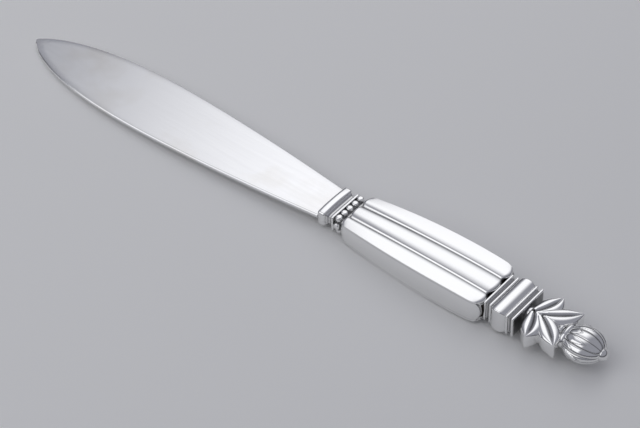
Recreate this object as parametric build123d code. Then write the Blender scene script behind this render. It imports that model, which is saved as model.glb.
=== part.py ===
from build123d import *
import os

# Letter opener of the hollow-handle kind: a flat leaf blade whose tang is set in a filled handle of two
# struck shells, closed by a ferrule and a beaded collar in front, a moulded neck and a bud finial behind.
# Sizes are millimetres. +X runs to the blade's tip and +Z is up as the opener lies on a desk.
# While it is modelled, x = 0 is the front face of the ferrule and z = 0 is the middle of the blade.

# Blade and tang
blade_length = 124.0
blade_max_width = 23.9
blade_heel_width = 13.6
blade_widest_at = 72.0
blade_thickness = 1.8
blade_edge_thickness = 1.2
blade_bevel_width = 2.4
blade_bevel_at_tip = 4.0
blade_flank_power = 1.6
blade_tip_length_power = 2.45
blade_tip_width_power = 1.45
blade_tip_round_share = 0.985
tang_length = 48.0
tang_root_width = 7.0
tang_tip_width = 4.0
tang_thickness = 1.4
tang_rooted_in_blade = 4.0

# Ferrule, the moulded cap that closes the mouth of the handle
ferrule_roll_length = 2.9
ferrule_width = 14.0
ferrule_thickness = 5.9
ferrule_corner = 1.7
ferrule_roll_round = 1.1
ferrule_cove_length = 2.3
ferrule_cove_depth = 1.0
spigot_wall = 0.9
spigot_reach = 3.0
spigot_corner = 0.6

# Beaded collar
collar_width = 13.2
collar_thickness = 5.8
collar_corner = 1.9
collar_fillet_length = 0.7
collar_rear_step = 0.5
bead_diameter = 2.2
bead_count = 12
bead_channel_depth = 1.0
bead_rise = 0.25
bead_side_gap = 0.2

# Reeded grip of two shells
grip_length = 52.8
grip_width = 20.6
grip_thickness = 9.7
grip_widest_share = 0.7
grip_front_width = 15.6
grip_front_thickness = 7.6
grip_rear_width = 19.8
grip_rear_thickness = 8.9
grip_front_shoulder = 1.4
grip_front_end_round = 1.2
grip_rear_shoulder = 5.0
grip_rear_end_round = 1.4
shoulder_power = 2.4
reed_half_width_front = 3.0
reed_half_width_rear = 3.7
reed_groove_depth = 0.45
outer_reed_crown = 0.45
side_drop_share = 0.22
side_bulge_share = 0.08
shell_wall = 0.8
shell_end_wall = 1.0
filler_gap = 0.1

# Moulded neck between grip and finial
neck_width = 16.4
neck_front_width = 15.2
neck_thickness = 8.4
neck_corner = 1.3
neck_roll_corner = 2.6
neck_roll_length = 5.2
neck_fillet_length = 0.8
neck_cove_length = 1.5
neck_fillet_step = 0.4
neck_cove_depth = 1.2
neck_spigot_width = 10.0
neck_spigot_thickness = 5.0

# Finial: stem, four leaves and a lobed bud above a ring
stem_length = 14.4
stem_foot_radius = 2.6
stem_foot_length = 1.2
stem_waist_radius = 1.7
stem_ring_radius = 2.4
stem_ring_length = 1.4
stem_ring_at = 11.0
tenon_radius = 1.2
tenon_length = 6.0
lower_leaf_root_at = 2.1
lower_leaf_length = 10.6
lower_leaf_width = 7.0
lower_leaf_start_angle = 54.0
lower_leaf_end_angle = 86.0
upper_leaf_root_at = 4.4
upper_leaf_length = 12.6
upper_leaf_width = 6.8
upper_leaf_start_angle = 28.0
upper_leaf_end_angle = 50.0
leaf_seam = 0.04
leaf_thickness = 6.0
leaf_widest_share = 0.5
leaf_root_share = 0.5
leaf_tip_share = 0.18
leaf_tip_thickness_share = 0.6
bud_length = 11.4
bud_width = 13.0
bud_thickness = 9.2
bud_widest_share = 0.46
bud_swell_share = 0.6
bud_lobes = 12
bud_lobe_share = 0.12
bud_ring_length = 1.8
bud_ring_seat = 0.6
bud_ring_lip = 0.5
button_radius = 1.9
button_length = 1.8

# Clearance left between pieces that slide together on the bench
fit_gap = 0.05

# Stations along the handle, counted back from the front face of the ferrule
ferrule_length = ferrule_roll_length + ferrule_cove_length
bead_channel_length = bead_diameter + 2 * bead_side_gap
collar_length = 2 * collar_fillet_length + bead_channel_length
collar_front = -ferrule_length
grip_front = collar_front - collar_length
grip_rear = grip_front - grip_length
neck_length = 4 * neck_fillet_length + 2 * neck_cove_length + neck_roll_length
neck_rear = grip_rear - neck_length
bud_front = neck_rear - stem_length
bud_rear = bud_front - bud_length


def across(x):
    """Plane square to the handle at station x, with its own x along +Y and its normal to the finial."""
    return Plane(origin=(x, 0, 0), x_dir=(0, 1, 0), z_dir=(-1, 0, 0))


def slab(front, length, width, thickness, corner, edge_round=0.0):
    """Rounded block from station front, length back along the handle, with both end edges rounded over."""
    corner = min(corner, 0.49 * thickness)
    block = extrude(across(front) * RectangleRounded(width, thickness, corner), length)
    if edge_round:
        ends = block.faces().filter_by(Axis.X).edges()
        block = fillet(ends, min(edge_round, 0.47 * length, 0.9 * corner))
    return block


def blade_half_width(x, length, heel_width, max_width):
    """Half width of the leaf outline: a swelling flank up to the widest place, then a superellipse tip."""
    if x <= blade_widest_at:
        share = (blade_widest_at - x) / blade_widest_at
        return (max_width - (max_width - heel_width) * share**blade_flank_power) / 2
    share = min(1.0, (x - blade_widest_at) / (length - blade_widest_at))
    return max_width / 2 * (1 - share**blade_tip_length_power) ** (1 / blade_tip_width_power)


def blade_outline(z, bevel, tip_bevel):
    """Closed outline of the blade at height z, drawn in by the bevel along the flanks and at the tip."""
    length = blade_length - tip_bevel
    heel, widest = blade_heel_width - 2 * bevel, blade_max_width - 2 * bevel
    flank = [blade_widest_at * share for share in (0, 0.25, 0.5, 0.75)]
    tip_length = length - blade_widest_at
    point = [blade_widest_at + tip_length * share for share in (0, 0.3, 0.55, 0.75, 0.88, 0.95)]
    last = blade_widest_at + tip_length * blade_tip_round_share
    side = [(x, blade_half_width(x, length, heel, widest), z) for x in (*flank, *point, last)]
    other = [(x, -y, z) for x, y, _ in side]
    return Wire(
        [
            Line(other[0], side[0]).edge(),
            Spline(*side).edge(),
            ThreePointArc(side[-1], (length, 0, z), other[-1]).edge(),
            Spline(*reversed(other)).edge(),
        ]
    )


def make_blade():
    """Bevelled leaf blade with its tapered flat tang, in one piece."""
    flat, edge = blade_thickness / 2, blade_edge_thickness / 2
    leaf = Solid.make_loft(
        [
            blade_outline(-flat, blade_bevel_width, blade_bevel_at_tip),
            blade_outline(-edge, 0, 0),
            blade_outline(edge, 0, 0),
            blade_outline(flat, blade_bevel_width, blade_bevel_at_tip),
        ],
        ruled=True,
    )
    leaf = leaf.moved(Location((fit_gap, 0, 0)))
    root, tip = tang_root_width / 2, tang_tip_width / 2
    start = tang_rooted_in_blade
    half = [(start, root), (0, root), (-tang_length, tip)]
    outline = half + [(x, -y) for x, y in reversed(half)]
    tang = extrude(make_face(Polyline(*outline, close=True)), tang_thickness / 2, both=True)
    return leaf + tang


spigot_width = tang_root_width + 2 * (fit_gap + spigot_wall)
spigot_thickness = tang_thickness + 2 * (fit_gap + spigot_wall)
spigot_hole_width = spigot_width + 2 * fit_gap
spigot_hole_thickness = spigot_thickness + 2 * fit_gap


def make_ferrule():
    """Roll and cove with a spigot behind them, slotted for the tang."""
    size = ferrule_width, ferrule_thickness
    roll = slab(0, ferrule_roll_length, *size, ferrule_corner, ferrule_roll_round)
    cove_width = ferrule_width - 2 * ferrule_cove_depth
    cove_thickness = ferrule_thickness - 2 * ferrule_cove_depth
    cove = slab(-ferrule_roll_length, ferrule_cove_length, cove_width, cove_thickness, ferrule_corner)
    spigot = slab(collar_front, collar_length + spigot_reach, spigot_width, spigot_thickness, spigot_corner)
    slot_length = ferrule_length + collar_length + spigot_reach
    slot = Box(slot_length, tang_root_width + 2 * fit_gap, tang_thickness + 2 * fit_gap)
    return roll + cove + spigot - slot.moved(Location((-slot_length / 2, 0, 0)))


def make_bead_collar():
    """Ring with two fillets and a row of beads standing in the channel between them."""
    floor_width = collar_width - 2 * bead_channel_depth
    floor_thickness = collar_thickness - 2 * bead_channel_depth
    floor_corner = collar_corner - bead_channel_depth / 2
    channel_front = collar_front - collar_fillet_length
    channel_rear = channel_front - bead_channel_length
    ring = slab(channel_front, bead_channel_length, floor_width, floor_thickness, floor_corner)
    for front, step in ((collar_front, 0), (channel_rear, collar_rear_step)):
        width, thickness = collar_width - 2 * step, collar_thickness - 2 * step
        ring += slab(front, collar_fillet_length, width, thickness, collar_corner, collar_fillet_length / 3)
    row_at = across(channel_front - bead_channel_length / 2)
    row_width, row_thickness = floor_width + 2 * bead_rise, floor_thickness + 2 * bead_rise
    path = (row_at * RectangleRounded(row_width, row_thickness, floor_corner + bead_rise)).wire()
    top_middle = Vector(row_at.origin) + Vector(0, 0, floor_thickness / 2 + bead_rise)
    start = path.param_at_point(top_middle)
    for n in range(bead_count):
        ring += Sphere(bead_diameter / 2).moved(Location(path.position_at((start + n / bead_count) % 1)))
    return ring - slab(collar_front, collar_length, spigot_hole_width, spigot_hole_thickness, spigot_corner)


def grip_half_size(share, widest, front, rear, mouth, end, front_round, rear_round):
    """Half size of the grip at a share of its length: two parabolas that meet at the widest place, drawn in
    over the last stretch at the front to the collar's size and at the rear to the neck's."""
    if share < grip_widest_share:
        size = widest - (widest - front) * ((grip_widest_share - share) / grip_widest_share) ** 2
    else:
        size = widest - (widest - rear) * ((share - grip_widest_share) / (1 - grip_widest_share)) ** 2
    from_front, from_rear = share * grip_length, (1 - share) * grip_length
    size -= (front - mouth) * max(0.0, 1 - from_front / front_round) ** shoulder_power
    size -= (rear - end) * max(0.0, 1 - from_rear / rear_round) ** shoulder_power
    return size / 2


def grip_size(share):
    """Half width and half thickness of the grip at a share of its length."""
    mouth_width = collar_width - 2 * collar_rear_step
    mouth_thickness = collar_thickness - 2 * collar_rear_step
    widths = grip_width, grip_front_width, grip_rear_width, mouth_width, neck_front_width
    thicknesses = grip_thickness, grip_front_thickness, grip_rear_thickness, mouth_thickness, neck_thickness
    half_width = grip_half_size(share, *widths, grip_front_shoulder, grip_rear_shoulder)
    half_thickness = grip_half_size(share, *thicknesses, grip_front_end_round, grip_rear_end_round)
    return half_width, half_thickness


def arch(start, end, rise):
    """Arc from start to end, both (x, y, z), that bulges away from the grip's axis by rise."""
    a, b = Vector(*start), Vector(*end)
    outward = Vector(1, 0, 0).cross(b - a).normalized()
    middle = (a + b) * 0.5
    if outward.dot(Vector(0, middle.Y, middle.Z)) < 0:
        outward = -outward
    return Edge.make_three_point_arc(a, middle + outward * rise, b)


def grip_section(share):
    """Closed outline of the grip: three reeds above, three below and one down each side."""
    x = grip_front - share * grip_length
    half_width, half_thick = grip_size(share)
    groove = reed_half_width_front + (reed_half_width_rear - reed_half_width_front) * share * (2 - share)
    groove_height = half_thick - reed_groove_depth
    side_height = half_thick * (1 - side_drop_share)
    bulge = half_thick * side_bulge_share
    side_y = half_width - bulge
    above = [(x, groove, groove_height), (x, side_y, side_height)]
    right = above + [(x, y, -z) for x, y, z in reversed(above)]
    corners = right + [(x, -y, z) for x, y, z in reversed(right)]
    rises = [outer_reed_crown, bulge, outer_reed_crown, reed_groove_depth] * 2
    ends = corners[1:] + corners[:1]
    return Wire([arch(a, b, rise) for a, b, rise in zip(corners, ends, rises)])


def cavity_section(share, gap):
    """Rounded outline of the hollow inside the grip shells, drawn in by gap."""
    half_width, half_thick = grip_size(share)
    height = half_thick - reed_groove_depth - shell_wall - gap
    width = half_width - half_thick * side_bulge_share - shell_wall - gap
    outline = RectangleRounded(2 * width, 2 * height, 0.7 * height)
    return (across(grip_front - share * grip_length) * outline).wire()


shoulder_front, shoulder_rear = grip_front_shoulder / grip_length, 1 - grip_rear_shoulder / grip_length
cavity_ends = shell_end_wall / grip_length, 1 - shell_end_wall / grip_length


def stations(start, end, count):
    """Evenly spaced shares of the grip's length from start to end, count steps apart."""
    return [start + (end - start) * step / count for step in range(count + 1)]


def cavity(gap):
    """The hollow of the grip as a solid, drawn in by gap all round."""
    return Solid.make_loft([cavity_section(share, gap) for share in stations(*cavity_ends, 12)], ruled=True)


def make_grip_shells():
    """Upper and lower struck half shells, split along the side seam, open at both ends for the spigots."""
    shell = Part()
    stretches = (0, shoulder_front, 8), (shoulder_front, shoulder_rear, 6), (shoulder_rear, 1, 8)
    for start, end, count in stretches:
        shell += Solid.make_loft([grip_section(share) for share in stations(start, end, count)])
    mouth = slab(grip_front, 2 * shell_end_wall, spigot_hole_width, spigot_hole_thickness, spigot_corner)
    neck_hole = slab(
        grip_rear + 2 * shell_end_wall,
        2 * shell_end_wall,
        neck_spigot_width + 2 * fit_gap,
        neck_spigot_thickness + 2 * fit_gap,
        spigot_corner,
    )
    shell = shell - cavity(0) - mouth - neck_hole
    return [split(shell, bisect_by=Plane.XY, keep=half) for half in (Keep.TOP, Keep.BOTTOM)]


def make_filler():
    """Setting compound that fills the shells around the tang and the two spigots."""
    tang_hole = extrude(
        make_face(
            Polyline(
                (grip_front, -tang_root_width / 2),
                (-tang_length, -tang_tip_width / 2),
                (-tang_length, tang_tip_width / 2),
                (grip_front, tang_root_width / 2),
                close=True,
            )
        ),
        tang_thickness / 2 + fit_gap,
        both=True,
    )
    reach = spigot_reach + fit_gap
    front = slab(grip_front, reach, spigot_hole_width, spigot_hole_thickness, spigot_corner)
    rear = slab(
        grip_rear + reach,
        reach,
        neck_spigot_width + 2 * fit_gap,
        neck_spigot_thickness + 2 * fit_gap,
        spigot_corner,
    )
    return Part() + cavity(filler_gap) - tang_hole - front - rear


def make_neck():
    """Fillets and coves about one full roll, with a spigot into the grip and a bore for the stem."""
    fillet_ring = (neck_fillet_length, neck_fillet_step, neck_corner, 0.25 * neck_fillet_length)
    cove = (neck_cove_length, neck_cove_depth, neck_corner, 0)
    roll = (neck_roll_length, 0, neck_roll_corner, 0.5 * neck_roll_length)
    stack = [(neck_front_width, *step) for step in (fillet_ring, cove, fillet_ring)]
    stack += [(neck_width, *step) for step in (roll, fillet_ring, cove, fillet_ring)]
    spigot = neck_spigot_width, neck_spigot_thickness
    body = slab(grip_rear + spigot_reach, spigot_reach, *spigot, spigot_corner)
    at = grip_rear
    for width, length, depth, corner, rounding in stack:
        body += slab(at, length, width - 2 * depth, neck_thickness - 2 * depth, corner, rounding)
        at -= length
    bore = extrude(across(neck_rear + tenon_length) * Circle(tenon_radius + fit_gap), tenon_length)
    return body - bore


def make_stem():
    """Turned stem: a foot on the neck, a drawn-in waist with a ring, and a tenon at each end."""
    foot_end = neck_rear - stem_foot_length
    ring_front = neck_rear - stem_ring_at
    ring_rear = ring_front - stem_ring_length
    front_end = neck_rear + tenon_length - fit_gap
    rear_end = bud_front - tenon_length
    outline = [
        Polyline((front_end, 0), (front_end, tenon_radius), (neck_rear, tenon_radius)),
        Polyline((neck_rear, tenon_radius), (neck_rear, stem_foot_radius), (foot_end, stem_foot_radius)),
        ThreePointArc(
            (foot_end, stem_foot_radius),
            ((foot_end + ring_front) / 2, stem_waist_radius),
            (ring_front, stem_waist_radius),
        ),
        ThreePointArc(
            (ring_front, stem_waist_radius),
            ((ring_front + ring_rear) / 2, stem_ring_radius),
            (ring_rear, stem_waist_radius),
        ),
        Polyline((ring_rear, stem_waist_radius), (bud_front, stem_waist_radius), (bud_front, tenon_radius)),
        Polyline((bud_front, tenon_radius), (rear_end, tenon_radius), (rear_end, 0), (front_end, 0)),
    ]
    return revolve(make_face([edge for line in outline for edge in line.edges()]), Axis.X)


def make_leaf(side, root_at, length, width, start_angle, end_angle):
    """Curved leaf springing from the stem: oval sections along a line that turns from the start angle to the
    end angle, both measured from the stem; side is 1 for left and -1 for right."""
    root = Vector(neck_rear - root_at, 0, 0)
    ways = [Vector(-1, 0, 0).rotate(Axis.Z, -side * angle) for angle in (start_angle, end_angle)]
    ovals = []
    for step in range(9):
        share = step / 8
        centre = root + (ways[0] * share + (ways[1] - ways[0]) * (share**2 / 2)) * length
        along = ways[0] + (ways[1] - ways[0]) * share
        if share < leaf_widest_share:
            full = 1 - (1 - leaf_root_share) * ((leaf_widest_share - share) / leaf_widest_share) ** 2
        else:
            full = 1 - (1 - leaf_tip_share) * ((share - leaf_widest_share) / (1 - leaf_widest_share)) ** 2
        thick = leaf_thickness / 2 * (1 - (1 - leaf_tip_thickness_share) * share**2)
        plane = Plane(origin=centre, x_dir=along.cross(Vector(0, 0, 1)), z_dir=along)
        ovals.append((plane * Ellipse(width / 2 * full, thick)).wire())
    leaf = Part() + Solid.make_loft(ovals)
    seam = Plane(origin=(0, side * leaf_seam / 2, 0), z_dir=(0, side, 0))
    return split(leaf, bisect_by=seam, keep=Keep.TOP)


def bud_swell(share):
    """Size of the bud as a share of its greatest, at a share of its length."""
    return (1 - ((share - bud_widest_share) / bud_swell_share) ** 2) ** 0.5


def bud_section(share):
    """Closed lobed outline of the bud: arcs with their crowns on an oval and their valleys just inside it."""
    x = bud_front - share * bud_length
    swell = bud_swell(share)
    step = 360 / bud_lobes

    def on_oval(turn, scale):
        ray = Vector(0, scale * swell, 0).rotate(Axis.X, turn)
        return Vector(x, ray.Y * bud_width / 2, ray.Z * bud_thickness / 2)

    valley = 1 - bud_lobe_share
    arcs = []
    for n in range(bud_lobes):
        turn = n * step
        ends = on_oval(turn - step / 2, valley), on_oval(turn + step / 2, valley)
        arcs.append(Edge.make_three_point_arc(ends[0], on_oval(turn, 1), ends[1]))
    return Wire(arcs)


def make_bud():
    """Lobed egg-shaped bud, still without its bore."""
    return Part() + Solid.make_loft([bud_section(step / 8) for step in range(9)])


def make_bud_ring(bud, stem):
    """Rounded oval ring round the end of the stem, in which the front of the bud is seated."""
    swell = bud_swell(0)
    oval = Ellipse(bud_width / 2 * swell + bud_ring_lip, bud_thickness / 2 * swell + bud_ring_lip)
    ring = extrude(across(bud_front + bud_ring_length - bud_ring_seat) * oval, bud_ring_length)
    ring = fillet(ring.faces().filter_by(Axis.X).edges(), 0.45 * bud_ring_length)
    return ring - bud - stem


def make_button():
    """Small domed button that closes the end of the bud."""
    dome = Sphere(button_radius).moved(Location((bud_rear - button_length + button_radius, 0, 0)))
    return split(dome, bisect_by=Plane(origin=(bud_rear, 0, 0), z_dir=(-1, 0, 0)), keep=Keep.TOP)


stem = make_stem()
bud = make_bud()
bud_bore = extrude(across(bud_front) * Circle(tenon_radius + fit_gap), tenon_length + fit_gap)
bud_ring = make_bud_ring(bud, stem)
shell_upper, shell_lower = make_grip_shells()
lower_angles = lower_leaf_start_angle, lower_leaf_end_angle
upper_angles = upper_leaf_start_angle, upper_leaf_end_angle
lower = (lower_leaf_root_at, lower_leaf_length, lower_leaf_width, *lower_angles)
upper = (upper_leaf_root_at, upper_leaf_length, upper_leaf_width, *upper_angles)
nodes = {
    "blade": make_blade(),
    "front_ferrule": make_ferrule(),
    "bead_collar": make_bead_collar(),
    "grip_shell_upper": shell_upper,
    "grip_shell_lower": shell_lower,
    "grip_filler": make_filler(),
    "neck_collar": make_neck(),
    "finial_stem": stem,
    "bud_ring": bud_ring,
    "bud": bud - bud_bore,
    "bud_button": make_button(),
}
for side, hand in ((1, "left"), (-1, "right")):
    lower_leaf = make_leaf(side, *lower) - stem
    nodes[f"leaf_lower_{hand}"] = lower_leaf
    nodes[f"leaf_upper_{hand}"] = make_leaf(side, *upper) - stem - lower_leaf - bud_ring - bud

# The origin goes to the middle of the opener's bounding box in X and Y, and to its lowest point in Z.
box = Compound([solid for part in nodes.values() for solid in part.solids()]).bounding_box()
shift = Location((-(box.min.X + box.max.X) / 2, -(box.min.Y + box.max.Y) / 2, -box.min.Z))
os.makedirs("parts", exist_ok=True)
for name, part in nodes.items():
    export_step(part.moved(shift), f"parts/{name}.step")
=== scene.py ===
import bmesh
import bpy
import numpy as np
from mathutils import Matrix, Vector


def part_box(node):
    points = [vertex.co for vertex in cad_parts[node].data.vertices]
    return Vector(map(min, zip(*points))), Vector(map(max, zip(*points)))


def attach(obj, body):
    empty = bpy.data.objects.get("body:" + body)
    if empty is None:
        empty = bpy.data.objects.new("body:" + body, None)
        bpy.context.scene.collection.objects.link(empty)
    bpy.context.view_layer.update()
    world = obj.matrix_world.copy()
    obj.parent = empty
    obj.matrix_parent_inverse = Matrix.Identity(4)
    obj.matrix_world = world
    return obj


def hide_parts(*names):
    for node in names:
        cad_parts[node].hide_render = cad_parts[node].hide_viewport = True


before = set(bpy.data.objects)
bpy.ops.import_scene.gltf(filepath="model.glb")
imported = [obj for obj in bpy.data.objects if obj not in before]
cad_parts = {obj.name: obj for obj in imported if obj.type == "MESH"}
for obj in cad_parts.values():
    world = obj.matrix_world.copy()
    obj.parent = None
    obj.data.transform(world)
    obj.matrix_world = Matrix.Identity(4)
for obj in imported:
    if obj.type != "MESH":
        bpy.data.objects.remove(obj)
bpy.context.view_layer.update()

# Blade: one flat leaf of silver, satin all over, whose faces fall away softly towards the edges and end
# in a narrow bright arris. Its tang is forged in one with it and runs back into the handle.
MM = 0.001
heel_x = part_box("front_ferrule")[1][0]
tip_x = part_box("blade")[1][0]
tang_end_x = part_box("blade")[0][0]
middle_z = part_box("grip_shell_upper")[0][2]
blade_half_thickness = (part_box("blade")[1][2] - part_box("blade")[0][2]) / 2
blade_half_width = (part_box("blade")[1][1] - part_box("blade")[0][1]) / 2
heel_half_width = 6.8 * MM
widest_from_heel = 72 * MM
heel_power = 1.6
leaf_power_along, leaf_power_across = 2.45, 1.45
tip_round_share = 0.979
edge_half_thickness = 0.75 * MM
fall_power = 2.2
bevel_width = 2.4 * MM
bevel_at_tip = 4.0 * MM
arris_width = 0.30 * MM
arris_drop = 0.29 * MM
arris_share, edge_top_share = 0.92, 0.7
crease_width = 0.12 * MM
# Painted shade: the dark line along the crease fades out over this length towards the tip.
crease_shade_fade = 60 * MM
tang_half_width_root = 3.5 * MM
tang_half_width_end = 2.0 * MM
tang_half_thickness = 0.7 * MM
tang_flat_share = 0.9


def skin(name, rings, tarnish_and_shade=0.0, crease=40, fans=True):
    """Closed mesh over a grid of rings by points: quads join neighbours in the grid, each ring runs
    round to its own start, and the first and last rings are closed by a fan to their middle, or without
    fans by their own points, which then lie in pairs. The third argument, from 0 to 1 over the same grid,
    is kept as an attribute that darkens the colour: tarnish in hollows, and painted shade along the
    blade's crease and at the beads' feet. Points that fall together are welded."""
    rows, columns = rings.shape[:2]
    index = np.arange(rows * columns).reshape(rows, columns)
    index = np.hstack([index, index[:, :1]])
    quads = np.stack([index[:-1, :-1], index[1:, :-1], index[1:, 1:], index[:-1, 1:]], axis=-1)
    quads = quads.reshape(-1, 4)
    points = np.vstack([rings.reshape(-1, 3), rings[0].mean(axis=0), rings[-1].mean(axis=0)])
    depth = np.broadcast_to(tarnish_and_shade, (rows, columns))
    depth = np.append(depth.ravel(), [depth[0].mean(), depth[-1].mean()])
    first, last = np.full(columns, rows * columns), np.full(columns, rows * columns + 1)
    caps = np.vstack([
        np.stack([index[0, :-1], index[0, 1:], first], axis=-1),
        np.stack([index[-1, 1:], index[-1, :-1], last], axis=-1),
    ])
    if not fans:
        caps, points, depth = caps[:0], points[:-2], depth[:-2]
    triangles = np.vstack([quads[:, :3], quads[:, [0, 2, 3]], caps])
    a, b, c = (points[triangles[:, k]] - points.mean(axis=0) for k in range(3))
    if np.einsum("ij,ij->", a, np.cross(b, c)) < 0:
        quads, caps = quads[:, ::-1], caps[:, ::-1]
    mesh = bpy.data.meshes.new(name)
    mesh.from_pydata(points.tolist(), [], quads.tolist() + caps.tolist())
    mesh.attributes.new("tarnish_and_shade", "FLOAT", "POINT").data.foreach_set("value", depth.astype(np.float32))
    weld = bmesh.new()
    weld.from_mesh(mesh)
    bmesh.ops.remove_doubles(weld, verts=weld.verts, dist=1e-4 * MM)
    weld.to_mesh(mesh)
    weld.free()
    mesh.polygons.foreach_set("use_smooth", np.ones(len(mesh.polygons), dtype=bool))
    mesh.set_sharp_from_angle(angle=np.radians(crease))
    piece = bpy.data.objects.new(name, mesh)
    bpy.context.collection.objects.link(piece)
    return piece


def fit(piece, node, material):
    """The piece takes the node's place on the opener, with its finish."""
    piece.data.materials.append(material)
    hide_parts(node)
    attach(piece, "root")


def leaf_half_width(x, length, heel, widest):
    """Half width at x from the heel: up to the widest place the shortfall goes as a power of the
    distance to it, and beyond it the outline is a superellipse quadrant with one power along and one
    across, whose last stretch is the arc of a circle through the tip."""

    def quadrant(share):
        return (1 - share**leaf_power_along) ** (1 / leaf_power_across)

    before = np.clip((widest_from_heel - x) / widest_from_heel, 0, 1)
    after = np.clip((x - widest_from_heel) / (length - widest_from_heel), 0, 1)
    half = (widest - (widest - heel) * before**heel_power) * quadrant(after)
    arc_length = (length - widest_from_heel) * (1 - tip_round_share)
    arc_half = widest * quadrant(tip_round_share)
    radius = (arc_half**2 + arc_length**2) / (2 * arc_length)
    arc = np.sqrt(np.clip(radius**2 - (np.minimum(x, length) - length + radius) ** 2, 0, None))
    return np.where(after > tip_round_share, arc, half)


def blade_rings():
    """Rings round the blade at stations from the tang's end to the tip, closer together towards the tip:
    a flat, a fall to the edge as a power of the way across it, a plane arris and an upright edge,
    mirrored left to right and top to bottom. The tang is the same ring drawn small. The second array is a
    painted shade line: 1 along the crease between fall and arris, less near the tip in proportion to the
    distance from it, and 0 elsewhere."""
    tang_count, flat_count, fall_count = 12, 9, 12
    station_count, last_station, crowding = 190, 0.998, 1.8
    length = tip_x - heel_x
    x = length * (1 - (1 - np.linspace(0, last_station, station_count)) ** crowding)
    edge = leaf_half_width(x, length, heel_half_width, blade_half_width)
    flat_halves = heel_half_width - bevel_width, blade_half_width - bevel_width
    flat = leaf_half_width(x, length - bevel_at_tip, *flat_halves)
    fall_at_tip = np.clip(1 - (length - x) / bevel_at_tip, 0, 1) ** fall_power
    top = blade_half_thickness - (blade_half_thickness - edge_half_thickness) * fall_at_tip
    tang_x = np.linspace(tang_end_x - heel_x, 0, tang_count)
    tang_edge = np.interp(tang_x, [tang_x[0], 0], [tang_half_width_end, tang_half_width_root])
    x = np.append(tang_x, x)[:, None]
    edge = np.append(tang_edge, edge)[:, None]
    flat = np.append(tang_edge * tang_flat_share, flat)[:, None]
    top = np.append(np.full(tang_count, tang_half_thickness), top)[:, None]
    arris = np.minimum(arris_width, 0.5 * edge)
    crease_y, low = edge - arris, np.minimum(edge_half_thickness, top)
    flat = np.minimum(flat, crease_y - 2 * np.minimum(crease_width, 0.2 * crease_y))
    before = 1 - np.minimum(crease_width / (crease_y - flat), 0.5)
    steps = np.linspace(0, 1, fall_count)[None, 1:]
    way = np.hstack([before * steps, np.ones_like(edge)])
    facet = np.array([[0.3, 1.0]])
    y = np.hstack([
        flat * np.linspace(0, 1, flat_count)[None, :],
        flat + (crease_y - flat) * way,
        crease_y + arris_share * arris * facet,
        edge,
        edge,
    ])
    z = np.hstack([
        np.repeat(top, flat_count, axis=1),
        top - (top - low) * way**fall_power,
        low - arris_drop * facet,
        edge_top_share * (low - arris_drop),
        0 * low,
    ])
    crease = np.zeros(y.shape)
    # Painted shade: a dark line along the crease, weaker towards the tip.
    crease[:, flat_count + fall_count - 1] = np.clip((length - x[:, 0]) / crease_shade_fade, 0, 1)
    y = np.hstack([y, y[:, -2::-1]])
    z = np.hstack([z, -z[:, -2::-1]])
    crease = np.hstack([crease, crease[:, -2::-1]])
    y = np.hstack([y, -y[:, -2:0:-1]])
    z = np.hstack([z, z[:, -2:0:-1]])
    crease = np.hstack([crease, crease[:, -2:0:-1]])
    return np.stack([heel_x + x + 0 * y, y, middle_z + z], axis=-1), crease


def shader(name):
    """New node material, with its tree and its Principled shader."""
    material = bpy.data.materials.new(name)
    material.use_nodes = True
    return material, material.node_tree, material.node_tree.nodes["Principled BSDF"]


def add(tree, kind, values, links=()):
    """New shader node with its values set by socket name or number, or by property name, and its sockets
    linked."""
    node = tree.nodes.new("ShaderNode" + kind)
    for key, value in values.items():
        if isinstance(key, int) or key in node.inputs:
            node.inputs[key].default_value = value
        else:
            setattr(node, key, value)
    for socket, source in links:
        tree.links.new(source, node.inputs[socket])
    return node


def grain(tree, stretch, scale, detail):
    """Noise on object coordinates, squeezed along each axis by stretch, as the lines that a buff or
    brush leaves."""
    place = add(tree, "TexCoord", {})
    squeezed = add(tree, "Mapping", {"Scale": stretch}, [("Vector", place.outputs["Object"])])
    noise = {"Scale": scale, "Detail": detail}
    return add(tree, "TexNoise", noise, [("Vector", squeezed.outputs["Vector"])])


def spread(tree, source, low, high):
    """The middle of the source's range, where most of a noise lies, mapped to low to high."""
    values = {"From Min": 0.3, "From Max": 0.7, "To Min": low, "To Max": high}
    return add(tree, "MapRange", values, [("Value", source)]).outputs["Result"]


def satin_silver():
    """Blade silver: fine lines along the blade in roughness and relief, broad faint clouds of tarnish,
    and a dark line of painted shade in the crease."""
    # The third colour is painted shade, the dark line along the crease.
    tarnished, clean, painted_crease_shade = (0.87, 0.858, 0.835, 1), (0.935, 0.937, 0.94, 1), (0.36, 0.36, 0.37, 1)
    material, tree, face = shader("satin_silver")
    lines = grain(tree, (40, 900, 900), 1.0, 6.0)
    clouds = grain(tree, (1, 1, 1), 55.0, 5.0)
    tint = add(tree, "ValToRGB", {}, [("Fac", clouds.outputs["Fac"])])
    tint.color_ramp.elements[0].position = 0.30
    tint.color_ramp.elements[0].color = tarnished
    tint.color_ramp.elements[1].position = 0.50
    tint.color_ramp.elements[1].color = clean
    crease = add(tree, "Attribute", {"attribute_name": "tarnish_and_shade"})
    painted_crease_line = add(tree, "Mix", {"data_type": "RGBA", 7: painted_crease_shade}, [
        (0, crease.outputs["Fac"]),
        (6, tint.outputs["Color"]),
    ])
    tree.links.new(painted_crease_line.outputs[2], face.inputs["Base Color"])
    tree.links.new(spread(tree, lines.outputs["Fac"], 0.19, 0.24), face.inputs["Roughness"])
    bump = {"Strength": 0.02, "Distance": 0.05 * MM}
    relief = add(tree, "Bump", bump, [("Height", lines.outputs["Fac"])])
    tree.links.new(relief.outputs["Normal"], face.inputs["Normal"])
    face.inputs["Metallic"].default_value = 1.0
    return material


blade = skin("blade_leaf", *blade_rings(), crease=12)
fit(blade, "blade", satin_silver())

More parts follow.
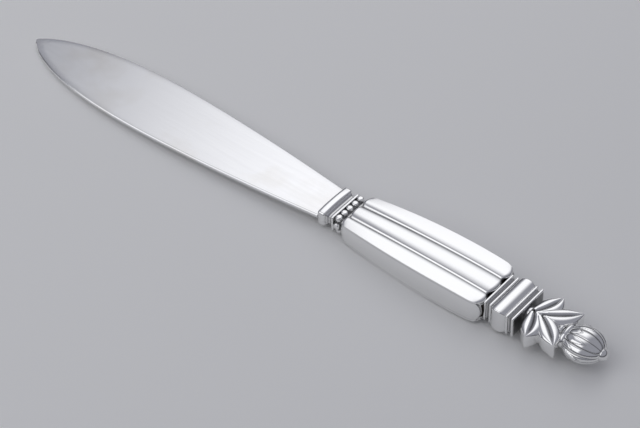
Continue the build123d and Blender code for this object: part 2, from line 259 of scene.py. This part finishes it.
# Ferrule: a cast silver cap soldered over the mouth of the handle, with a full roll against the blade
# and a cove behind it. Like the collar and the neck it is oblong, with softly rounded corners.
ferrule_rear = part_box("bead_collar")[1][0]
ferrule_low, ferrule_high = (np.array(corner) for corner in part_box("front_ferrule"))
ferrule_half = (ferrule_high - ferrule_low)[1:] / 2
ferrule_length = heel_x - ferrule_rear
ferrule_roll_length = 2.9 / 5.2 * ferrule_length
ferrule_roll_power = 3.2
ferrule_cove_depth = 1.0 * MM
ferrule_cove_floor, ferrule_cove_lip = -0.15 * MM, 0.4 * MM
ferrule_corner = 0.7 * MM
ferrule_dome = 0.12
ferrule_tarnish, ferrule_tarnish_reach = 0.55, 0.35 * MM


def oblong(half, corner, per_corner=10, per_side=8):
    """Points round a rectangle of these half sizes with rounded corners, and for each point the way that
    it moves when both half sizes grow alike: along the diagonal at the corners, and in even steps
    between along the sides."""
    turn = np.linspace(0, np.pi / 2, per_corner)
    points, growth = [], []
    for quarter in range(4):
        angle = turn + quarter * np.pi / 2
        way = np.stack([np.cos(angle), np.sin(angle)], axis=-1)
        sign = np.sign(np.array([np.cos(angle[1]), np.sin(angle[1])]))
        points.append(sign * (half - corner) + corner * way)
        growth.append(np.tile(sign, (per_corner, 1)))
    points, growth = np.vstack(points), np.vstack(growth)
    steps = np.where(np.arange(len(points)) % per_corner == per_corner - 1, per_side, 1)
    start = np.repeat(np.arange(len(points)), steps)
    share = np.concatenate([np.arange(n) / n for n in steps])[:, None]
    ends = (start + 1) % len(points)
    between = points[start] * (1 - share) + points[ends] * share
    return between, growth[start] * (1 - share) + growth[ends] * share


def oblong_rings(x, offset, half, corner, dome=0.0):
    """A moulding's profile, x along the handle and offset outwards, carried round an oblong outline. The
    heights shrink by the share dome from the middle to the sides, as the square of the way across."""
    outline, growth = oblong(half, corner)
    flat = outline[None] + growth[None] * offset[:, None, None]
    flat[..., 1] *= 1 - dome * (flat[..., 0] / half[0]) ** 2
    stations = np.broadcast_to(x[:, None, None], flat.shape[:2] + (1,))
    return np.concatenate([stations, flat], axis=-1) + np.array([0, 0, middle_z])


def roll(length, low, high, power=2.0, count=25):
    """Full roll: half a superellipse of this power, from low up to high and back along the length."""
    turn = np.linspace(0, np.pi, count)
    along = np.sign(np.cos(turn)) * np.abs(np.cos(turn)) ** (2 / power)
    return length * (1 - along) / 2, low + (high - low) * np.sin(turn) ** (2 / power)


def cove(length, low, high, count=15):
    """Hollow moulding: a half sine that dips from high to low and back."""
    turn = np.linspace(0, np.pi, count)
    return length * turn / np.pi, high + (low - high) * np.sin(turn)


def band(length, low, high, soft=0.16):
    """Square fillet standing from low to high, with its two outer edges rounded over a share of its
    length."""
    turn = np.linspace(0, np.pi / 2, 5)
    r = soft * length
    x = np.concatenate([[0], r * (1 - np.cos(turn)), length - r + r * np.sin(turn), [length]])
    rise = np.concatenate([[low], high - r + r * np.sin(turn), high - r + r * np.cos(turn), [low]])
    return x, rise


def stack(front, mouldings):
    """Mouldings one behind the other from front towards the finial, as one profile of x and offset."""
    xs, offsets = [], []
    for along, out in mouldings:
        xs.append(front - along)
        offsets.append(out)
        front = front - along[-1]
    return np.concatenate(xs), np.concatenate(offsets)


def polished_silver():
    """Handle silver: mirror polish with faint buffing lines and clouds, darkened by the attribute that
    skin
    keeps: tarnish where the buff doesn't reach, and painted shade at the beads' feet."""
    clean, tarnished = (0.90, 0.90, 0.895, 1), (0.035, 0.035, 0.04, 1)
    tarnished_roughness = 0.35
    material, tree, face = shader("polished_silver")
    lines = grain(tree, (60, 500, 500), 1.0, 5.0)
    clouds = grain(tree, (1, 1, 1), 160.0, 6.0)
    shade_and_tarnish_map = add(tree, "Attribute", {"attribute_name": "tarnish_and_shade"})
    # The dark colour paints tarnish in hollows and painted shade at the beads' feet.
    shade_and_tarnish_level = add(tree, "Math", {"operation": "MULTIPLY"}, [
        (0, shade_and_tarnish_map.outputs["Fac"]),
        (1, spread(tree, clouds.outputs["Fac"], 0.75, 1.0)),
    ])
    tint = add(tree, "ValToRGB", {}, [("Fac", shade_and_tarnish_level.outputs["Value"])])
    tint.color_ramp.elements[0].color = clean
    tint.color_ramp.elements[0].position = 0.08
    tint.color_ramp.elements[1].color = tarnished
    tint.color_ramp.elements[1].position = 0.95
    tree.links.new(tint.outputs["Color"], face.inputs["Base Color"])
    polish = spread(tree, lines.outputs["Fac"], 0.07, 0.13)
    dull = add(tree, "Math", {"operation": "MULTIPLY_ADD", 1: tarnished_roughness}, [
        (0, shade_and_tarnish_map.outputs["Fac"]),
        (2, polish),
    ])
    tree.links.new(dull.outputs["Value"], face.inputs["Roughness"])
    bump = {"Strength": 0.03, "Distance": 0.03 * MM}
    relief = add(tree, "Bump", bump, [("Height", lines.outputs["Fac"])])
    tree.links.new(relief.outputs["Normal"], face.inputs["Normal"])
    face.inputs["Metallic"].default_value = 1.0
    return material


silver = polished_silver()
ferrule_x, ferrule_out = stack(heel_x, [
    roll(ferrule_roll_length, 0.0, ferrule_cove_depth, ferrule_roll_power),
    cove(ferrule_length - ferrule_roll_length, ferrule_cove_floor, ferrule_cove_lip),
])
ferrule_core = ferrule_half - ferrule_cove_depth
ferrule_rings = oblong_rings(ferrule_x, ferrule_out, ferrule_core, ferrule_corner, ferrule_dome)
ferrule_depth = np.clip(1 - np.abs(ferrule_out) / ferrule_tarnish_reach, 0, 1) * ferrule_tarnish
ferrule = skin("ferrule_moulding", ferrule_rings, ferrule_depth[:, None])
fit(ferrule, "front_ferrule", silver)

# Beaded collar: a ring of silver with a sharp fillet on the ferrule's side and a low one on the grip's,
# and a row of round beads, cast with it, standing shoulder to shoulder in the channel between them.
collar_low, collar_high = (np.array(corner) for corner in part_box("bead_collar"))
fillet_length = 0.7 * MM
bead_radius = 1.1 * MM
bead_count = 12
bead_rise = 0.25 * MM
bead_power = 5.6
channel_depth = 1.0 * MM
channel_half = (collar_high - collar_low)[1:] / 2 - bead_rise - bead_radius
channel_corner = 0.7 * MM
channel_floor = -0.1 * MM
front_fillet_foot = -0.6 * MM
rear_fillet_rise = 0.3 * channel_depth
collar_tarnish, collar_tarnish_reach = 0.85, 0.8 * channel_depth


def join(name, pieces):
    """The pieces' meshes as one piece."""
    with bpy.context.temp_override(active_object=pieces[0], selected_editable_objects=pieces):
        bpy.ops.object.join()
    pieces[0].name = name
    return pieces[0]


def bead(centre, outward):
    """One bead: a ball in rings of latitude from near pole to near pole along the handle, its dome
    filled out to a superellipse between the outward way and the two ways across it. It darkens towards
    its foot."""
    pole = 0.06
    latitude = np.linspace(pole, np.pi - pole, 17)[:, None]
    longitude = np.linspace(0, 2 * np.pi, 28, endpoint=False)[None, :]
    ball = np.stack([
        np.cos(latitude) + 0 * longitude,
        np.sin(latitude) * np.cos(longitude),
        np.sin(latitude) * np.sin(longitude),
    ], axis=-1)
    outward = outward / np.linalg.norm(outward)
    out = ball @ outward
    sideways = 1 - np.minimum(out**2, 1)
    full = (np.abs(out) ** bead_power + sideways ** (bead_power / 2)) ** (-1 / bead_power)
    radius = bead_radius * np.where(out > 0, full, 1)
    foot_shade, foot_start = 1.4, 0.1
    sunk = np.clip(-out * foot_shade - foot_start, 0, 1)
    return skin("bead", centre + radius[..., None] * ball, sunk)


collar_length = collar_high[0] - collar_low[0]
collar_x, collar_out = stack(collar_high[0], [
    band(fillet_length, front_fillet_foot, channel_depth),
    cove(collar_length - 2 * fillet_length, channel_floor, 0.0),
    band(fillet_length, 0.0, rear_fillet_rise),
])
collar_rings = oblong_rings(collar_x, collar_out, channel_half, channel_corner)
collar_depth = np.clip(1 - collar_out / collar_tarnish_reach, 0, 1) * collar_tarnish
bead_line, bead_growth = oblong(channel_half, channel_corner, per_side=40)
bead_line = bead_line + bead_growth * bead_rise
bead_line = np.vstack([bead_line, bead_line[:1]])
bead_way = np.gradient(bead_line, axis=0)[:, ::-1] * [1, -1]
travel = np.concatenate([[0], np.cumsum(np.linalg.norm(np.diff(bead_line, axis=0), axis=1))])
top_start = travel[np.argmin(np.hypot(bead_line[:, 0], bead_line[:, 1] - bead_line[:, 1].max()))]
places = (top_start + travel[-1] * np.arange(bead_count) / bead_count) % travel[-1]
row_x = collar_high[0] - collar_length / 2
bead_at, bead_out = (
    np.stack([np.interp(places, travel, column) for column in line.T], axis=-1)
    for line in (bead_line, bead_way)
)
beads = [
    bead(np.array([row_x, y, middle_z + z]), np.array([0, *way])) for (y, z), way in zip(bead_at, bead_out)
]
collar = join("beaded_collar", [skin("collar_ring", collar_rings, collar_depth[:, None])] + beads)
fit(collar, "bead_collar", silver)

# Grip: two struck half shells of silver, soldered along the side seam. Each reed is a long convex tongue
# with rounded ends, three above, three below and one down each side, parted by fine grooves with tarnish
# along their edges. The shells lap a little over the collar and the neck.
grip_low, grip_high = (np.array(corner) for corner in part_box("grip_shell_upper"))
grip_overlap = 0.4 * MM
grip_front_x = collar_low[0] + grip_overlap
bare_grip_length = 52.8 * MM
grip_length = bare_grip_length + 2 * grip_overlap
grip_widest = np.array([grip_high[1] - grip_low[1], 2 * (grip_high[2] - grip_low[2])]) / 2
grip_front_half = np.array([7.6, 3.8]) * MM
grip_rear_half = np.array([9.9, 4.45]) * MM
grip_mouth_half = np.array([6.6, 2.8]) * MM
grip_end_half = np.array([8.9, 4.2]) * MM
grip_widest_share = 0.7
front_shoulder = np.array([2.8, 1.2]) * MM
rear_shoulder = np.array([5.0, 1.4]) * MM
shoulder_power = 2.4
groove_front, groove_rear = 3.0 * MM, 3.7 * MM
groove_half = 0.3 * MM
reed_crown = 0.57 * MM
reed_power = 2.4
corner_share = 0.82
corner_front_drop, corner_front_power = 0.08, 5
corner_rear_drop, corner_rear_power = 0.06, 14
open_edge, grooved_edge = 0.35, 1.0
side_bulge_share = 0.08
tongue_front, tongue_rear = 0.6 * MM, 0.5 * MM
nose_front, nose_rear = 0.8 * MM, 1.0 * MM
nose_reach = 4
end_tarnish, groove_tarnish = 0.9, 0.5
groove_tarnish_at, groove_tarnish_reach = 0.955, 0.045
shell_wall = 0.8 * MM


def grip_half_sizes(share):
    """Half width and half thickness at a share of the grip's length: two parabolas that meet at the
    widest place, drawn in over a shoulder at each end as a power of the way into the shoulder."""
    share = share[:, None]
    front_end = np.clip(1 - share * grip_length / front_shoulder, 0, 1) ** shoulder_power
    rear_end = np.clip(1 - (1 - share) * grip_length / rear_shoulder, 0, 1) ** shoulder_power
    before = np.clip((grip_widest_share - share) / grip_widest_share, 0, 1) ** 2
    after = np.clip((share - grip_widest_share) / (1 - grip_widest_share), 0, 1) ** 2
    size = grip_widest - (grip_widest - grip_front_half) * before - (grip_widest - grip_rear_half) * after
    size = size - (grip_front_half - grip_mouth_half) * front_end
    return size - (grip_rear_half - grip_end_half) * rear_end


def reed(share, start, end, crown, reach, across):
    """One reed between two groove lines: the chord from start to end plus a rise along its outward
    normal. With q the distance from the reed's middle, which is 1 round the elliptical ends of the
    tongue and comes to reach at the start and end edges, the rise is crown times one less a power of q,
    and no less than nothing. Gives the points, the inner wall's points and q."""
    from_front, from_rear = share * grip_length, (1 - share) * grip_length
    into_front, into_rear = 1 - from_front / tongue_front, 1 - from_rear / tongue_rear
    end_on = np.maximum(np.clip(into_front, 0, 1), np.clip(into_rear, 0, 1))
    q = np.hypot((np.abs(across) * np.where(across < 0, *reach))[None, :], end_on[:, None])
    chord = start[:, None] + (end - start)[:, None] * ((across + 1) / 2)[None, :, None]
    way = end - start
    outward = np.stack([-way[:, 1], way[:, 0]], axis=-1) / np.linalg.norm(way, axis=1, keepdims=True)
    rise = crown[:, None] * (1 - np.minimum(q, 1) ** reed_power)
    return chord + outward[:, None] * rise[..., None], chord - outward[:, None] * shell_wall, q


def half_shell(name, up):
    """Half shell above the seam with up = 1, below it with up = -1: from seam to seam the five reeds
    outside, then back along the chords, drawn in by the wall, with the two walls brought together at
    both ends. Each reed's ends are noses: its points draw back from the grip's ends by the square of
    their way off the reed's middle. The corners beside the outer reeds fall a little towards both ends,
    and stations crowd there."""
    crowding = 0.9
    run = np.linspace(0, 1, 150)
    share = run - crowding * np.sin(2 * np.pi * run) / (2 * np.pi)
    half = grip_half_sizes(share)
    bulge = side_bulge_share * half[:, 1]
    crown = np.full(len(share), reed_crown)
    corner = corner_share - corner_front_drop * (1 - share) ** corner_front_power
    corner = corner - corner_rear_drop * share**corner_rear_power
    side = np.stack([half[:, 0] - bulge, corner * half[:, 1]], axis=-1)
    groove = groove_front + (groove_rear - groove_front) * share * (2 - share)
    line = np.stack([groove, half[:, 1] - reed_crown], axis=-1)
    strip = np.array([groove_half, 0])
    whole = np.sin(np.linspace(-1, 1, 31) * np.pi / 2)
    rising = np.sin(np.linspace(0, 1, 16) * np.pi / 2)
    both_grooved = grooved_edge, grooved_edge
    reeds = [
        reed(share, side * [-1, -1], side * [-1, 1], bulge, both_grooved, rising),
        reed(share, side * [-1, 1], (line + strip) * [-1, 1], crown, (open_edge, grooved_edge), whole),
        reed(share, (line - strip) * [-1, 1], line - strip, crown, both_grooved, whole),
        reed(share, line + strip, side, crown, (grooved_edge, open_edge), whole),
        reed(share, side, side * [1, -1], bulge, both_grooved, -rising[::-1]),
    ]
    outside, inside, q = (np.concatenate(grids, axis=1) for grids in zip(*reeds))
    loop = np.concatenate([outside, inside[:, ::-1]], axis=1)
    ends = np.concatenate([outside, outside[:, ::-1]], axis=1)
    loop = np.concatenate([ends[:1], loop, ends[-1:]])
    off_middle = np.abs(np.concatenate([rising, whole, whole, whole, rising[::-1]]))
    notch_front = nose_front * np.clip(1 - share * grip_length / (nose_reach * nose_front), 0, 1) ** 2
    notch_rear = nose_rear * np.clip(1 - (1 - share) * grip_length / (nose_reach * nose_rear), 0, 1) ** 2
    notch = (notch_front - notch_rear)[:, None] * np.append(off_middle, off_middle[::-1]) ** 2
    x = grip_front_x - share[:, None] * grip_length - notch
    x = np.concatenate([x[:1], x, x[-1:]])
    points = np.stack([x, loop[..., 0], middle_z + up * loop[..., 1]], axis=-1)
    beside_groove = np.clip(1 - np.abs(q - groove_tarnish_at) / groove_tarnish_reach, 0, 1)
    tarnish = np.where(q > 1.001, end_tarnish, groove_tarnish * beside_groove)
    tarnish = np.concatenate([tarnish, 0 * tarnish[:, ::-1]], axis=1)
    tarnish = np.concatenate([tarnish[:1], tarnish, tarnish[-1:]])
    return skin(name, points, tarnish, crease=30, fans=False)


for half_name, up in (("upper", 1), ("lower", -1)):
    shell = half_shell(f"reeded_shell_{half_name}", up)
    fit(shell, f"grip_shell_{half_name}", silver)

# Filler: the cement that was poured into the shells to set the tang, sealed in and never seen. It keeps
# its solid's shape and gets a gritty matte finish.


def setting_cement():
    """Grey-brown cement: speckled colour and a coarse grain in relief."""
    dark, light = (0.22, 0.19, 0.16, 1), (0.42, 0.37, 0.31, 1)
    material, tree, face = shader("setting_cement")
    grit = grain(tree, (1, 1, 1), 900.0, 3.0)
    tint = add(tree, "ValToRGB", {}, [("Fac", grit.outputs["Fac"])])
    tint.color_ramp.elements[0].color = dark
    tint.color_ramp.elements[1].color = light
    tree.links.new(tint.outputs["Color"], face.inputs["Base Color"])
    bump = {"Strength": 0.4, "Distance": 0.2 * MM}
    relief = add(tree, "Bump", bump, [("Height", grit.outputs["Fac"])])
    tree.links.new(relief.outputs["Normal"], face.inputs["Normal"])
    face.inputs["Roughness"].default_value = 0.9
    return material


cement = setting_cement()
for cement_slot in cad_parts["grip_filler"].material_slots:
    cement_slot.material = cement

# Neck: a cast silver collar of crisp fillets and coves about one full roll, soldered between the grip
# and the finial. Its corners are nearly square, with dark tarnish left in its coves and by the roll.
neck_low, neck_high = (np.array(corner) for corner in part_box("neck_collar"))
neck_front = grip_front_x - grip_length
neck_half = (neck_high - neck_low)[1:] / 2
neck_front_half = neck_half - np.array([0.6, 0.0]) * MM
neck_cove_depth = 1.2 * MM
neck_corner = 0.5 * MM
neck_hollow_lip = 0.25 * MM
neck_tarnish, neck_tarnish_reach = 0.85, 0.3 * MM
neck_fillet = band(0.8 * MM, 0.0, 0.8 * MM, 0.3)
neck_front_hollow = cove(1.1 * MM, 0.0, neck_hollow_lip)
neck_rear_hollow = cove(1.2 * MM, 0.0, neck_hollow_lip)
neck_roll = roll(5.5 * MM, 0.0, neck_cove_depth)
neck_x, neck_out = stack(neck_front, [neck_fillet, neck_front_hollow, neck_fillet])
rear_x, rear_out = stack(neck_x[-1], [neck_roll, neck_fillet, neck_rear_hollow, neck_fillet])
neck_rings = np.concatenate([
    oblong_rings(neck_x, neck_out, neck_front_half - neck_cove_depth, neck_corner),
    oblong_rings(rear_x, rear_out, neck_half - neck_cove_depth, neck_corner),
])
neck_out = np.concatenate([neck_out, rear_out])
neck_depth = np.clip(1 - neck_out / neck_tarnish_reach, 0, 1) * neck_tarnish
neck = skin("neck_moulding", neck_rings, neck_depth[:, None], crease=50)
fit(neck, "neck_collar", silver)

# Finial stem: turned from silver rod and soldered into the neck, with a foot against it, a drawn-in
# waist and a ring below the bud. The leaves hide most of it.
stem_low, stem_high = (np.array(corner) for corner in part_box("finial_stem"))
bud_low, bud_high = (np.array(corner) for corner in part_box("bud"))
neck_rear = neck_low[0]
stem_foot_radius = (stem_high[1] - stem_low[1]) / 2
stem_waist_radius, stem_ring_radius = 1.7 * MM, 2.4 * MM
stem_foot_length, stem_waist_length, stem_ring_length = 1.2 * MM, 9.8 * MM, 1.4 * MM
stem_end_length = neck_rear - bud_high[0] - stem_foot_length - stem_waist_length - stem_ring_length
stem_tarnish, stem_tarnish_reach = 0.7, 0.35 * MM
stem_x, stem_out = stack(neck_rear, [
    band(stem_foot_length, 0.0, stem_foot_radius - stem_waist_radius),
    (np.linspace(0, stem_waist_length, 12), np.zeros(12)),
    roll(stem_ring_length, 0.0, stem_ring_radius - stem_waist_radius),
    (np.linspace(0, stem_end_length, 4), np.zeros(4)),
])


def turned(x, radius, count=40, wide=1.0):
    """Rings of a turned piece: circles of each radius about the handle's axis, widened across by
    wide."""
    turn = np.linspace(0, 2 * np.pi, count, endpoint=False)[None, :]
    y, z = radius[:, None] * np.cos(turn) * wide, radius[:, None] * np.sin(turn)
    return np.stack([x[:, None] + 0 * y, y, middle_z + z], axis=-1)


stem_depth = np.clip(1 - stem_out / stem_tarnish_reach, 0, 1) * stem_tarnish
stem = skin("stem_turning", turned(stem_x, stem_waist_radius + stem_out), stem_depth[:, None])
fit(stem, "finial_stem", silver)

# Leaves: four thick silver leaves, cast and soldered to the stem, the lower pair spreading wide and the
# upper pair reaching towards the bud. Each is chased with a deep vein down its middle and a full cheek
# on each side.
leaf_half_thickness = (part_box("leaf_upper_left")[1][2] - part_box("leaf_upper_left")[0][2]) / 2
leaf_root_loss, leaf_tip_loss, leaf_tip_power = 0.5, 0.88, 2.2
leaf_rim_across, leaf_rim_up = 0.6, 0.45
leaf_droop = 0.12
leaf_parting = 0.02 * MM
cheek_depth = 0.05
vein_width, vein_depth, vein_fade = 0.11, 0.16, 0.3
vein_tarnish = 0.9


def leaf(name, side, root, length, half_width, angles, thick):
    """A leaf on a line that turns evenly from its first angle to its second: round it a slab with
    rounded rims, which fills out to the middle of the leaf and narrows to a soft tip. Each half of its
    face is a low arch from the rim to the vein, and the vein is a valley of the shape of a bell
    curve."""
    along = np.linspace(0.02, 1, 60)[:, None]
    first, second = np.radians(angles)
    way_1 = np.array([-np.cos(first), side * np.sin(first)])
    way_2 = np.array([-np.cos(second), side * np.sin(second)])
    middle = np.array([neck_rear - root, 0]) + length * (way_1 * along + (way_2 - way_1) * along**2 / 2)
    heading = way_1 + (way_2 - way_1) * along
    heading = heading / np.linalg.norm(heading, axis=1, keepdims=True)
    normal = np.stack([-heading[:, 1], heading[:, 0]], axis=-1)
    to_root, to_tip = np.clip(1 - 2 * along, 0, 1), np.clip(2 * along - 1, 0, 1)
    fullness = 1 - leaf_root_loss * to_root**2 - leaf_tip_loss * to_tip**leaf_tip_power
    turn = np.linspace(0, 2 * np.pi, 72, endpoint=False)[None, :]
    across = np.sign(np.cos(turn)) * np.abs(np.cos(turn)) ** leaf_rim_across
    up = np.sign(np.sin(turn)) * np.abs(np.sin(turn)) ** leaf_rim_up
    cheek = cheek_depth * (2 * np.abs(across) - 1) ** 2
    vein = np.exp(-((across / vein_width) ** 2)) * np.clip((1 - along) / vein_fade, 0, 1)
    height = thick * (1 - leaf_droop * along**4)
    z = height * up * (1 - cheek - vein_depth * vein)
    flat = middle[:, None] + normal[:, None] * (half_width * fullness * across)[..., None]
    y = side * np.maximum(side * flat[..., 1], leaf_parting)
    points = np.stack([flat[..., 0], y, middle_z + z], axis=-1)
    on_face = np.abs(up) > 0.3
    return skin(name, points, np.where(on_face, vein_tarnish * vein, 0.0))


for hand, side in (("left", 1), ("right", -1)):
    lower = leaf(
        f"leaf_low_{hand}", side, root=2.1 * MM, length=10.6 * MM, half_width=3.5 * MM, angles=(54, 86),
        thick=0.93 * leaf_half_thickness,
    )
    fit(lower, f"leaf_lower_{hand}", silver)
    upper = leaf(
        f"leaf_high_{hand}", side, root=4.4 * MM, length=12.6 * MM, half_width=3.4 * MM, angles=(28, 50),
        thick=leaf_half_thickness,
    )
    fit(upper, f"leaf_upper_{hand}", silver)

# Bud: a silver ring on the end of the stem, a cast bud in fluted lobes with pointed sepals, long and
# short by turns, and a small button soldered to its end.
bud_half = (bud_high - bud_low)[1:] / 2
bud_lobes = 12
bud_fullest, bud_reach = 0.46, 0.6
core_share, lobe_share, sepal_share = 0.88, 0.09, 0.03
lobe_roundness = 0.97
valley_power = 9
long_sepal, short_sepal = 0.62, 0.36
sepal_power = 1.7
sepal_edge = 0.03
rim_setback, rim_tarnish = 0.025, 0.7


def bud_rings():
    """Rings of the bud: an oval that swells as half an ellipse along the bud, with each lobe a circular
    arch across and a sharp valley between. A sepal is a low step over its lobe, inside a pointed arch
    that ends part of the way along."""
    per_lobe = 24
    v = np.linspace(0, 1, 90)[:, None]
    turn = np.linspace(0, 2 * np.pi, bud_lobes * per_lobe, endpoint=False)[None, :]
    swell = np.sqrt(1 - ((v - bud_fullest) / bud_reach) ** 2)
    lobe = turn * bud_lobes / (2 * np.pi)
    across = (lobe + 0.5) % 1 * 2 - 1
    arch = np.sqrt(1 - (lobe_roundness * across) ** 2)
    reach = np.where(np.floor(lobe + 0.5) % 2 == 0, long_sepal, short_sepal)
    inside_sepal = reach * (1 - np.abs(across) ** sepal_power) - v
    sepal = np.clip(inside_sepal / sepal_edge, 0, 1)
    size = swell * (core_share + lobe_share * arch + sepal_share * sepal)
    y, z = bud_half[0] * size * np.cos(turn), bud_half[1] * size * np.sin(turn)
    points = np.stack([bud_high[0] - v * (bud_high[0] - bud_low[0]) + 0 * y, y, middle_z + z], axis=-1)
    rim = np.clip(1 - np.abs(inside_sepal + rim_setback) / sepal_edge, 0, 1)
    return points, np.maximum(np.abs(across) ** valley_power, rim_tarnish * rim)


bud_points, bud_tarnish = bud_rings()
fit(skin("bud_lobed", bud_points, bud_tarnish), "bud", silver)
ring_low, ring_high = (np.array(corner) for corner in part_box("bud_ring"))
ring_half = (ring_high - ring_low)[1:] / 2
ring_roundness = 0.7 * MM
ring_x, ring_out = stack(ring_high[0], [roll(ring_high[0] - ring_low[0], -ring_roundness, 0.0)])
ring_rings = turned(ring_x, ring_half[1] + ring_out, 60, ring_half[0] / ring_half[1])
fit(skin("bud_seat", ring_rings), "bud_ring", silver)
button_low, button_high = (np.array(corner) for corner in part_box("bud_button"))
button_end_angle = np.pi / 2 - 0.04
button_dome = np.linspace(0.0, button_end_angle, 14)
button_x = button_high[0] - (button_high[0] - button_low[0]) * np.sin(button_dome)
button_radius = (button_high[1] - button_low[1]) / 2 * np.cos(button_dome)
fit(skin("bud_tip", turned(button_x, button_radius)), "bud_button", silver)

# Desk and studio: a plain pale surface that the opener touches at the grip's belly and the blade's tip,
# a soft box beyond for the silver to mirror, one above the near side for the desk, and a dim room.
belly_x = grip_front_x - grip_widest_share * grip_length
tip_under = middle_z - edge_half_thickness
desk_slope = tip_under / (tip_x - belly_x)
desk_half = 4.0
desk_colour = (0.90, 0.90, 0.89, 1)
desk_plan = desk_half * np.array([(-1, -1), (1, -1), (1, 1), (-1, 1)])
desk_mesh = bpy.data.meshes.new("desk")
desk_corners = [(x, y, (x - belly_x) * desk_slope) for x, y in desk_plan]
desk_mesh.from_pydata(desk_corners, [], [(0, 1, 2, 3)])
desk = bpy.data.objects.new("desk", desk_mesh)
bpy.context.collection.objects.link(desk)
desk_material, _, desk_face = shader("desk_surface")
desk_face.inputs["Base Color"].default_value = desk_colour
desk_face.inputs["Roughness"].default_value = 0.6
desk_mesh.materials.append(desk_material)


def soft_box(name, place, tilt, size, glow, fade):
    """Soft box whose face glows evenly in the middle, 1 being white, and dims to nothing over a share of
    its width and of its height at the edges. Its power is glow times pi times its area. It is tilted in
    degrees about the x axis from facing down."""
    light = bpy.data.lights.new(name, "AREA")
    light.shape = "RECTANGLE"
    light.size, light.size_y = size
    light.energy = glow * np.pi * size[0] * size[1]
    light.use_nodes = True
    tree = light.node_tree
    sheet = add(tree, "NewGeometry", {})
    place_on_sheet = add(tree, "SeparateXYZ", {}, [("Vector", sheet.outputs["Parametric"])])
    strength = None
    for axis, dim_share in zip("XY", fade):
        from_corner = place_on_sheet.outputs[axis]
        off_middle = add(tree, "Math", {"operation": "SUBTRACT", 1: 0.5}, [(0, from_corner)])
        distance = add(tree, "Math", {"operation": "ABSOLUTE"}, [(0, off_middle.outputs["Value"])])
        values = {"interpolation_type": "SMOOTHSTEP", "From Min": 0.5, "From Max": 0.5 - dim_share}
        level = add(tree, "MapRange", values, [("Value", distance.outputs["Value"])])
        links = [(0, level.outputs["Result"])]
        if strength:
            links.append((1, strength.outputs["Value"]))
        strength = add(tree, "Math", {"operation": "MULTIPLY", 1: 1.0}, links)
    tree.links.new(strength.outputs["Value"], tree.nodes["Emission"].inputs["Strength"])
    stand = bpy.data.objects.new(name, light)
    stand.location = place
    stand.rotation_euler = (np.radians(tilt), 0, 0)
    stand.visible_camera = False
    bpy.context.collection.objects.link(stand)


soft_box(
    "soft_box_over", place=(0.25, -0.406, 0.570), tilt=35.5,
    size=(0.78, 1.40), glow=0.82, fade=(0.36, 0.44),
)
soft_box(
    "soft_box_front", place=(0.55, 0.62, 0.80), tilt=-40,
    size=(1.5, 1.2), glow=0.8, fade=(0.15, 0.15),
)
room_low, room_high = (0.03, 0.03, 0.033, 1), (0.28, 0.285, 0.323, 1)
world = bpy.data.worlds.new("studio")
bpy.context.scene.world = world
world.use_nodes = True
room_tree = world.node_tree
look = add(room_tree, "TexCoord", {})
look_parts = add(room_tree, "SeparateXYZ", {}, [("Vector", look.outputs["Generated"])])
room_height = add(room_tree, "ValToRGB", {}, [("Fac", look_parts.outputs["Z"])])
room_height.color_ramp.elements[0].position = 0.05
room_height.color_ramp.elements[0].color = room_low
room_height.color_ramp.elements[1].position = 0.45
room_height.color_ramp.elements[1].color = room_high
room_tree.links.new(room_height.outputs["Color"], room_tree.nodes["Background"].inputs["Color"])

# Camera: a long lens above the near side of the handle, looking down along the opener towards the tip.
# Its focal length is given in pixels of a picture that is 640 pixels wide.
picture_width, focal_length = 640, 2400
eye_from_heel = np.array([-0.3343, 0.4019, 0.5076])
yaw, pitch, roll_angle = np.radians([-49.86, 44.38, -1.34])
camera = bpy.data.cameras.new("camera")
camera.sensor_width = 36
camera.lens = focal_length / picture_width * camera.sensor_width
eye = bpy.data.objects.new("camera", camera)
bpy.context.collection.objects.link(eye)
bpy.context.scene.camera = eye
eye.location = np.array([heel_x, 0, middle_z]) + eye_from_heel
forward = np.array([np.cos(yaw) * np.cos(pitch), np.sin(yaw) * np.cos(pitch), -np.sin(pitch)])
level = np.array([np.sin(yaw), -np.cos(yaw), 0])
upright = np.cross(level, forward)
right = np.cos(roll_angle) * level + np.sin(roll_angle) * upright
above = np.cross(right, forward)
turned_to = np.eye(4)
turned_to[:3, 0], turned_to[:3, 1], turned_to[:3, 2] = right, above, -forward
turned_to[:3, 3] = eye.location
eye.matrix_world = turned_to.T
bpy.context.scene.view_settings.view_transform = "Standard"
